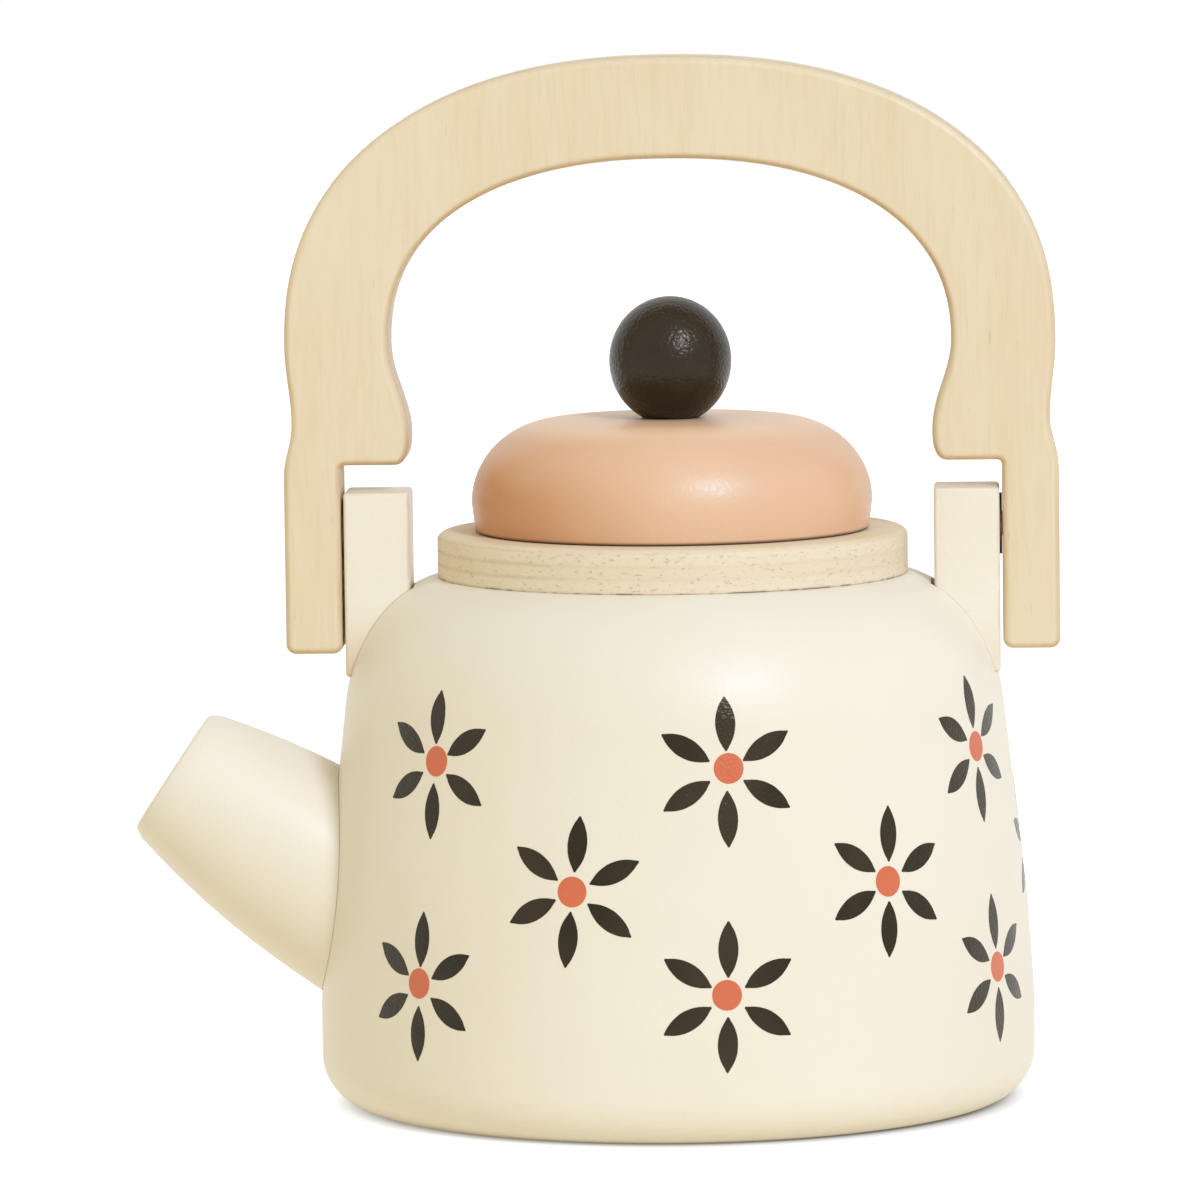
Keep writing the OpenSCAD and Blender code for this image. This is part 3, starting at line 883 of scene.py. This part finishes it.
def build_soft_edge():
    """Where a rounded edge turns between a face across an axis and the faces beside it.

    Its ends are cosines of the angle between the surface's normal and the axis.
    """
    tree, given, out = new_group(
        "soft_edge", [("Normal", "Vector"), ("Axis", "Vector")], [("Edge", "Float"), ("Side", "Float")])
    cosine = reckon(tree, "DOT_PRODUCT", given["Normal"], given["Axis"])["Value"]
    along = calculate(tree, "ABSOLUTE", cosine)
    leaving = stretch(tree, along, 0.995, 0.8)
    arriving = stretch(tree, along, 0.02, 0.45)
    feed(tree, calculate(tree, "MULTIPLY", leaving, arriving), out["Edge"])
    feed(tree, stretch(tree, along, 0.75, 0.35), out["Side"])
    return tree


paint_skin = build_paint_skin()
birch_grain = build_birch_grain()
ply_layers = build_ply_layers()
soft_edge = build_soft_edge()


def new_material(name):
    """A material with a plain surface; gives it, its tree, its surface's inputs and its coordinates."""
    material = bpy.data.materials.new(name)
    material.use_nodes = True
    tree = material.node_tree
    surface = tree.nodes["Principled BSDF"].inputs
    place = tree.nodes.new("ShaderNodeTexCoord").outputs
    return material, tree, surface, place


SEAM_REACH = 0.4 * MM


def seam_above(tree, place, height, reach):
    """One at a height and nothing a little above it."""
    return stretch(tree, split(tree, place["Object"])["Z"], height + reach, height)


TONE_DRIFT = 0.3


def drift(tree, skin, main, second):
    """A paint's colour, which changes slowly between two tones."""
    return blend_colours(tree, calculate(tree, "MULTIPLY", skin["Tone"], TONE_DRIFT), main, second)


def spray(tree, surface, place, roughness, droplets, shine, tint):
    """Gives a surface the satin shine of sprayed paint; gives the skin of the spray."""
    surface["Specular IOR Level"].default_value = shine
    surface["Specular Tint"].default_value = tint
    skin = use_group(tree, paint_skin, Vector=place["Object"])
    uneven = stretch(tree, skin["Droplets"], 0.2, 0.8, roughness - 0.03, roughness + 0.05)
    feed(tree, uneven, surface["Roughness"])
    feed(tree, raise_surface(tree, skin["Height"], droplets), surface["Normal"])
    return skin


def paint(name, main, second, **finish):
    """Sprayed satin paint in two tones."""
    material, tree, surface, place = new_material(name)
    skin = spray(tree, surface, place, **finish)
    feed(tree, drift(tree, skin, main, second), surface["Base Color"])
    return material


LID_SEAM_REACH = 0.75 * MM
# How much of the left side's painted shade stays on faces that look up.
LID_PAINTED_SHADE_ON_TOP = 0.3
# How much painted sheen the lid's top takes.
LID_PAINTED_SHEEN_TOP = 0.75


def peach_for_lid():
    """Satin peach paint, deeper on the left in painted shade and paler on top in a painted sheen, with a
    dark foot that is partly a dark joint and partly painted shade.
    """
    material, tree, surface, place = new_material("peach_paint")
    skin = spray(tree, surface, place, roughness=0.37, droplets=0.04 * MM, shine=0.6, tint=SHINE_PEACH)
    upward = split(tree, place["Normal"])["Z"]
    # Painted shade: deeper peach towards the left, less of it on faces that look up, mixed with a slow
    # random tone.
    painted_shade_and_tone = stretch(tree, split(tree, place["Object"])["X"], lid_r / 6, -lid_r)
    painted_shade_and_tone = calculate(tree, "MULTIPLY", painted_shade_and_tone, stretch(tree, upward, 0.1, 0.8, 1, LID_PAINTED_SHADE_ON_TOP))
    painted_shade_and_tone = calculate(tree, "MULTIPLY_ADD", skin["Tone"], 0.2, painted_shade_and_tone, clamp=True)
    coat = blend_colours(tree, painted_shade_and_tone, PEACH, PEACH_PAINTED_SHADE)
    # Painted sheen: paler peach on the faces that look up.
    coat = blend_colours(tree, stretch(tree, upward, 0.8, 0.99, 0, LID_PAINTED_SHEEN_TOP), coat, PEACH_PAINTED_SHEEN)
    # The dark foot where the lid meets the collar: a dark joint line, deepened as painted shade.
    coat = blend_colours(tree, seam_above(tree, place, lid_low.z, LID_SEAM_REACH), coat, SEAM)
    feed(tree, coat, surface["Base Color"])
    return material


WALL_STEPS = 16


def pot_wall(tree, height):
    """The pot's radius where the posts stand, from a height, as a curve along its shoulder."""
    node = tree.nodes.new("ShaderNodeFloatCurve")
    points = node.mapping.curves[0].points
    for step in range(1, WALL_STEPS):
        points.new(step / WALL_STEPS, 0)
    for step, point in enumerate(points):
        share = step / WALL_STEPS
        point.location = (share, pot_radius(mix(notch_floor, pot_top, share)) / pot_r)
    node.mapping.update()
    feed(tree, stretch(tree, height, notch_floor, pot_top, smooth=False), node.inputs["Value"])
    return calculate(tree, "MULTIPLY", node.outputs["Value"], pot_r)


POST_EDGE_WORN = (0.06, 0.25)
# The posts' top faces take a browner painted shade from the handle above them.
POST_TOP_PAINTED_SHADE = 0.16
# The joint line is a dark joint deepened as painted shade; the feet are darkened as painted shade, and
# the right post takes a smaller share of both than the left.
POST_JOINT_DARK = 0.65
POST_FOOT_PAINTED_SHADE = 0.45
POST_FOOT_H = 12 * MM
POST_PAINTED_SHADE_RIGHT = 0.35
POST_ROUGHNESS = 0.42


def cream_for_posts():
    """The same cream paint, browner along the posts' worn edges and in a dark joint line where they stand
    in the shoulder. Painted shade browns their tops and feet and deepens the joint line, most on the left
    post.
    """
    material, tree, surface, place = new_material("cream_posts")
    skin = use_group(tree, paint_skin, Vector=place["Object"])
    cream = drift(tree, skin, CREAM, CREAM_WARM)
    worn = [
        use_group(tree, soft_edge, Normal=place["Normal"], Axis=axis)["Edge"]
        for axis in ((1, 0, 0), (0, 1, 0), (0, 0, 1))]
    edge = calculate(tree, "MAXIMUM", calculate(tree, "MAXIMUM", worn[0], worn[1]), worn[2])
    patchy = stretch(tree, noise(tree, place["Object"], 240, detail=2), 0.35, 0.65, *POST_EDGE_WORN)
    # Painted shade: the top faces are browner, as under the handle.
    painted_top_shade = stretch(tree, split(tree, place["Normal"])["Z"], 0.6, 0.95, 0, POST_TOP_PAINTED_SHADE)
    edge = calculate(tree, "MULTIPLY_ADD", edge, patchy, painted_top_shade)
    height = split(tree, place["Object"])["Z"]
    from_axis = reckon(tree, "LENGTH", scaled(tree, place["Object"], (1, 1, 0)))["Value"]
    beyond = calculate(tree, "SUBTRACT", from_axis, pot_wall(tree, height))
    # A dark joint line, deepened as painted shade, and the feet darkened as painted shade.
    joint = stretch(tree, beyond, SEAM_REACH, 0, 0, POST_JOINT_DARK)
    foot = stretch(tree, height, notch_floor + POST_FOOT_H, notch_floor, 0, POST_FOOT_PAINTED_SHADE)
    across = split(tree, place["Object"])["X"]
    # Painted shade from the shoulder: full on the left post, a smaller share on the right one.
    painted_shade_side = stretch(tree, across, -SHOULDER_R / 2, SHOULDER_R / 2, 1, POST_PAINTED_SHADE_RIGHT)
    low = calculate(tree, "MULTIPLY", calculate(tree, "MAXIMUM", joint, foot), painted_shade_side)
    edge = calculate(tree, "MAXIMUM", edge, low)
    feed(tree, blend_colours(tree, edge, cream, BURNISH), surface["Base Color"])
    surface["Roughness"].default_value = POST_ROUGHNESS
    feed(tree, raise_surface(tree, skin["Height"], 0.05 * MM), surface["Normal"])
    return material


HANDLE_PLIES = 9
HANDLE_LAYERS_CLEAR = 0.8
HANDLE_ROUGHNESS = (0.46, 0.58)


def birch_for_handle():
    """Sealed birch plywood: face grain front and back, layers on the sides, and burnished edges that
    painted shade makes browner where they face down.
    """
    material, tree, surface, place = new_material("birch_handle")
    grain = use_group(tree, birch_grain, Vector=place["Object"], **BIRCH_TONES)
    across = split(tree, place["Object"])["Y"]
    depth = calculate(tree, "MULTIPLY_ADD", across, HANDLE_PLIES / plate_t, HANDLE_PLIES / 2)
    layers = use_group(
        tree, ply_layers, Depth=depth, Vector=place["Object"], Clear=HANDLE_LAYERS_CLEAR,
        Face=BIRCH_FIBRE, Dark=PLY_DARK, Glue=PLY_GLUE)
    turned = use_group(tree, soft_edge, Normal=place["Normal"], Axis=(0, 1, 0))
    wood = blend_colours(tree, turned["Side"], grain["Color"], layers["Color"])
    patchy = stretch(tree, noise(tree, place["Object"], 90), 0.3, 0.7, 0.3, 0.7)
    # Painted shade: the burnish is strongest on edges that face down and faint on those that face up.
    painted_shade_below = stretch(tree, split(tree, place["Normal"])["Z"], -0.25, 0.3, 1, 0.12)
    burn_and_painted_shade = calculate(tree, "MULTIPLY", calculate(tree, "MULTIPLY", turned["Edge"], patchy), painted_shade_below)
    feed(tree, blend_colours(tree, burn_and_painted_shade, wood, BURNISH), surface["Base Color"])
    feed(tree, stretch(tree, grain["Height"], 0, 1.5, *HANDLE_ROUGHNESS), surface["Roughness"])
    sunk = calculate(tree, "MULTIPLY", grain["Height"], -1.0)
    feed(tree, raise_surface(tree, sunk, 0.02 * MM), surface["Normal"])
    return material


COLLAR_PLIES = 3.3
COLLAR_TOP_PLY = -0.34
COLLAR_TURN = radians(20)
COLLAR_LAYERS_CLEAR = (0.12, 0.42)
COLLAR_ROUGHNESS = 0.58


def birch_for_collar():
    """The collar's plywood: layers round its wall and face grain on top."""
    material, tree, surface, place = new_material("birch_collar")
    lying = scaled(tree, place["Object"], rotation=(0, pi / 2, COLLAR_TURN))
    grain = use_group(tree, birch_grain, Vector=lying, **BIRCH_TONES)
    spot = split(tree, place["Object"])
    below_top = calculate(tree, "SUBTRACT", collar_top, spot["Z"])
    ply_t = (collar_top - pot_top) / COLLAR_PLIES
    depth = calculate(tree, "MULTIPLY_ADD", below_top, 1 / ply_t, COLLAR_TOP_PLY)
    clear = stretch(tree, spot["X"], 0, -0.9 * collar_r, *COLLAR_LAYERS_CLEAR)
    layers = use_group(
        tree, ply_layers, Depth=depth, Vector=place["Object"], Clear=clear,
        Face=BIRCH_PALE, Dark=PLY_PALE, Glue=PLY_GLUE)
    turned = use_group(tree, soft_edge, Normal=place["Normal"], Axis=(0, 0, 1))
    wood = blend_colours(tree, turned["Side"], grain["Color"], layers["Color"])
    dots = stretch(tree, noise(tree, place["Object"], 420, detail=1), 0.4, 0.6, 0.1, 0.8)
    seam = calculate(tree, "MULTIPLY", seam_above(tree, place, pot_top, SEAM_REACH), dots)
    feed(tree, blend_colours(tree, seam, wood, SEAM), surface["Base Color"])
    surface["Roughness"].default_value = COLLAR_ROUGHNESS
    feed(tree, raise_surface(tree, layers["Height"], 0.05 * MM), surface["Normal"])
    return material


def bare_wood(name, tones, roughness, turn=(0, 0, 0)):
    """Unpainted wood, its fibres upright unless they are turned."""
    material, tree, surface, place = new_material(name)
    grain = use_group(tree, birch_grain, Vector=scaled(tree, place["Object"], rotation=turn), **tones)
    feed(tree, grain["Color"], surface["Base Color"])
    surface["Roughness"].default_value = roughness
    feed(tree, raise_surface(tree, grain["Height"], 0.04 * MM), surface["Normal"])
    return material


def zinc_steel():
    """Bright zinc on steel, turned in fine rings round the screws."""
    material, tree, surface, place = new_material("zinc_screw")
    rings = noise(tree, scaled(tree, place["Object"], (6, 1, 1)), 700, roughness=0.6)
    feed(tree, stretch(tree, rings, 0.3, 0.7, 0.28, 0.48), surface["Roughness"])
    tone = stretch(tree, noise(tree, place["Object"], 900), 0.3, 0.7, 0, 0.25)
    feed(tree, blend_colours(tree, tone, ZINC, FIBRE_PALE), surface["Base Color"])
    surface["Metallic"].default_value = 1
    feed(tree, raise_surface(tree, rings, 0.02 * MM), surface["Normal"])
    return material


def pressed_fibre():
    """Dark pressed fibre with short strands."""
    material, tree, surface, place = new_material("fibre_washer")
    strands = noise(tree, scaled(tree, place["Object"], (1, 1, 0.3)), 2600, roughness=0.7)
    strands = stretch(tree, strands, 0.35, 0.7)
    feed(tree, blend_colours(tree, strands, FIBRE, FIBRE_PALE), surface["Base Color"])
    surface["Roughness"].default_value = 0.85
    feed(tree, raise_surface(tree, strands, 0.04 * MM), surface["Normal"])
    return material


def print_ink(name, main, second, roughness, shine):
    """Screen-printed ink: uneven cover, fine specks, and droplets that glitter in a highlight."""
    material, tree, surface, place = new_material(name)
    cover = stretch(tree, noise(tree, place["Object"], 55, detail=2), 0.35, 0.65, 0, 0.55)
    specks = noise(tree, place["Object"], 2400, detail=2, roughness=0.7)
    specks = stretch(tree, specks, 0.58, 0.72, 0, 0.6)
    thin = calculate(tree, "MAXIMUM", cover, specks)
    feed(tree, blend_colours(tree, thin, main, second), surface["Base Color"])
    feed(tree, stretch(tree, specks, 0, 1, roughness, roughness + 0.12), surface["Roughness"])
    surface["Specular IOR Level"].default_value = shine
    surface["Specular Tint"].default_value = SHINE_WARM
    droplets = noise(tree, place["Object"], 2200, detail=1)
    feed(tree, raise_surface(tree, droplets, 0.1 * MM), surface["Normal"])
    return material


def dress(piece, material):
    """Gives a piece its one material."""
    piece.data.materials.clear()
    piece.data.materials.append(material)


cream_paint = paint(
    "cream_paint", CREAM, CREAM_WARM, roughness=0.4, droplets=0.03 * MM, shine=0.5, tint=SHINE_CREAM)
charcoal_paint = paint(
    "charcoal_paint", CHARCOAL, CHARCOAL_PALE,
    roughness=0.3, droplets=0.13 * MM, shine=0.42, tint=SHINE_WARM)
posts_paint = cream_for_posts()
beech = bare_wood("beech_dowel", BEECH_TONES, roughness=0.7)
plug_wood = bare_wood("birch_plug", BIRCH_TONES, roughness=0.6, turn=(0, pi / 2, 0))
steel = zinc_steel()
fibre = pressed_fibre()

dress(pot, cream_paint)
dress(spout, cream_paint)
dress(left_bracket, posts_paint)
dress(right_bracket, posts_paint)
dress(collar, birch_for_collar())
dress(handle, birch_for_handle())
dress(lid, peach_for_lid())
dress(knob, charcoal_paint)
dress(petals, print_ink("charcoal_ink", INK, INK_PALE, roughness=0.28, shine=0.34))
dress(discs, print_ink("orange_ink", ORANGE, ORANGE_RIM, roughness=0.37, shine=0.75))

for node in ("spout_dowel", "left_bracket_dowel", "right_bracket_dowel", "knob_dowel"):
    dress(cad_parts[node], beech)
for node in ("left_pivot_screw", "right_pivot_screw"):
    dress(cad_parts[node], steel)
for node in ("left_washer", "right_washer"):
    dress(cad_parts[node], fibre)
dress(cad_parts["lid_plug"], plug_wood)

for piece, body, slot, node in (
    (pot, "pot", "cream_paint", "body"),
    (collar, "pot", "birch_ply", "collar_ring"),
    (spout, "pot", "cream_paint", "spout"),
    (left_bracket, "pot", "cream_paint", "left_bracket"),
    (right_bracket, "pot", "cream_paint", "right_bracket"),
    (handle, "handle", "birch_ply", "handle"),
    (lid, "lid", "peach_paint", "lid"),
    (knob, "lid", "charcoal_paint", "knob"),
):
    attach(piece, body)
    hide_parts(node)
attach(petals, "pot")
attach(discs, "pot")


# Floor, backdrop and light

FLOOR_SIZE = 6

# The floor as the camera sees it, and as it lights the object, partly with a painted warm glow that is no
# lamp
FLOOR_LIFT = 0.95
FLOOR_SEEN = (0.35, 0.36, 0.38, 1)
FLOOR_WARM = (0.86, 0.8, 0.66, 1)
PAINTED_BOUNCE = (0.115, 0.09, 0.042, 1)

# The painted shadow round the pot's foot, dimmed near the pieces and drawn as a ring: from its core,
# outwards from the foot, to its end
CONTACT_REACH = 14 * MM
CONTACT_FADE = 2
SHADOW_CORE = {"front": 0.5 * MM, "side": 0.9 * MM}
SHADOW_END = 8.5 * MM
SHADOW_ASIDE = 0.8 * MM
SHADOW_FADE = 1.35
SHADOW_DEPTH = 0.06


def seen_directly(tree):
    """One where the camera sees a thing, also in a reflection or through glass."""
    path = tree.nodes.new("ShaderNodeLightPath").outputs
    seen = calculate(tree, "MAXIMUM", path["Is Camera Ray"], path["Is Glossy Ray"])
    return calculate(tree, "MAXIMUM", seen, path["Is Transmission Ray"])


def past_shadow(tree, place):
    """How far a spot on the floor lies out of the painted shadow round the pot's foot, from 0 to 1."""
    spot = reckon(tree, "SUBTRACT", place["Object"], (SHADOW_ASIDE, 0, 0))["Vector"]
    from_foot = calculate(tree, "SUBTRACT", reckon(tree, "LENGTH", spot)["Value"], pot_r - BASE_ROUND)
    ahead = split(tree, reckon(tree, "NORMALIZE", spot)["Vector"])["Y"]
    ahead = calculate(tree, "MULTIPLY", ahead, ahead)
    core = stretch(tree, ahead, 0, 1, SHADOW_CORE["side"], SHADOW_CORE["front"], smooth=False)
    within = stretch(tree, from_foot, core, SHADOW_END, 1, 0, smooth=False)
    return calculate(tree, "SUBTRACT", 1.0, calculate(tree, "POWER", within, SHADOW_FADE))


def white_stage():
    """A white floor with a painted shadow round the object's foot for the camera, that gives the object a
    warm bounce, partly as a painted glow.
    """
    material, tree, surface, place = new_material("white_floor")
    surface["Roughness"].default_value = 0.9
    surface["Specular IOR Level"].default_value = 0
    seen = seen_directly(tree)
    feed(tree, blend_colours(tree, seen, FLOOR_WARM, FLOOR_SEEN), surface["Base Color"])
    # Painted shade: the glow is dimmed near the pieces by ambient occlusion, but no further out than the
    # painted shadow ring.
    near = tree.nodes.new("ShaderNodeAmbientOcclusion")
    near.inputs["Distance"].default_value = CONTACT_REACH
    clear_of_pieces = calculate(tree, "POWER", near.outputs["AO"], CONTACT_FADE)
    open_floor = calculate(tree, "MAXIMUM", clear_of_pieces, past_shadow(tree, place))
    lift = stretch(tree, open_floor, 0, 1, SHADOW_DEPTH, FLOOR_LIFT, smooth=False)
    glow = blend_colours(tree, lift, BLACK, WHITE)
    # The camera sees the glow with its painted shadow; everything else gets a warm glow as painted bounce
    # light.
    feed(tree, blend_colours(tree, seen, PAINTED_BOUNCE, glow), surface["Emission Color"])
    surface["Emission Strength"].default_value = 1
    return material


deselect()
bpy.ops.mesh.primitive_plane_add(size=FLOOR_SIZE)
floor = bpy.context.object
floor.name = "floor"
dress(floor, white_stage())

WORLD_STRENGTH = 0.64
FILL_LEFT = (0.98, 0.87, 0.57, 1)
FILL_RIGHT = (1, 0.985, 0.98, 1)
FILL_FROM = -0.9
FILL_TO = 0.8
KEY_AZIMUTH = 29
KEY_ELEVATION = 36
KEY_SPREAD = 13
KEY_STRENGTH = 1.25
KEY_TINT = (0.94, 1.03, 1.26)


def light_world():
    """An even studio, warmer from the left, that looks white to the camera."""
    world = bpy.data.worlds.new("studio")
    bpy.context.scene.world = world
    world.use_nodes = True
    tree = world.node_tree
    background = tree.nodes["Background"]
    seen = seen_directly(tree)
    towards = split(tree, tree.nodes.new("ShaderNodeTexCoord").outputs["Object"])["X"]
    fill = blend_colours(tree, stretch(tree, towards, FILL_FROM, FILL_TO), FILL_LEFT, FILL_RIGHT)
    feed(tree, blend_colours(tree, seen, fill, WHITE), background.inputs["Color"])
    strength = calculate(tree, "MULTIPLY_ADD", seen, 1 - WORLD_STRENGTH, WORLD_STRENGTH)
    feed(tree, strength, background.inputs["Strength"])


def add_lamp(name, azimuth, elevation, spread, strength, tint):
    """A far, soft lamp; its azimuth is measured from the front towards the right."""
    data = bpy.data.lights.new(name, "SUN")
    data.angle = radians(spread)
    data.energy = strength
    data.color = tint
    lamp = bpy.data.objects.new(name, data)
    bpy.context.scene.collection.objects.link(lamp)
    a, e = radians(azimuth), radians(elevation)
    away = Vector((sin(a) * cos(e), -cos(a) * cos(e), sin(e)))
    lamp.location = away
    lamp.rotation_euler = (-away).to_track_quat("-Z", "Y").to_euler()


light_world()
add_lamp("key", KEY_AZIMUTH, KEY_ELEVATION, KEY_SPREAD, KEY_STRENGTH, KEY_TINT)

bpy.context.scene.view_settings.view_transform = "Standard"
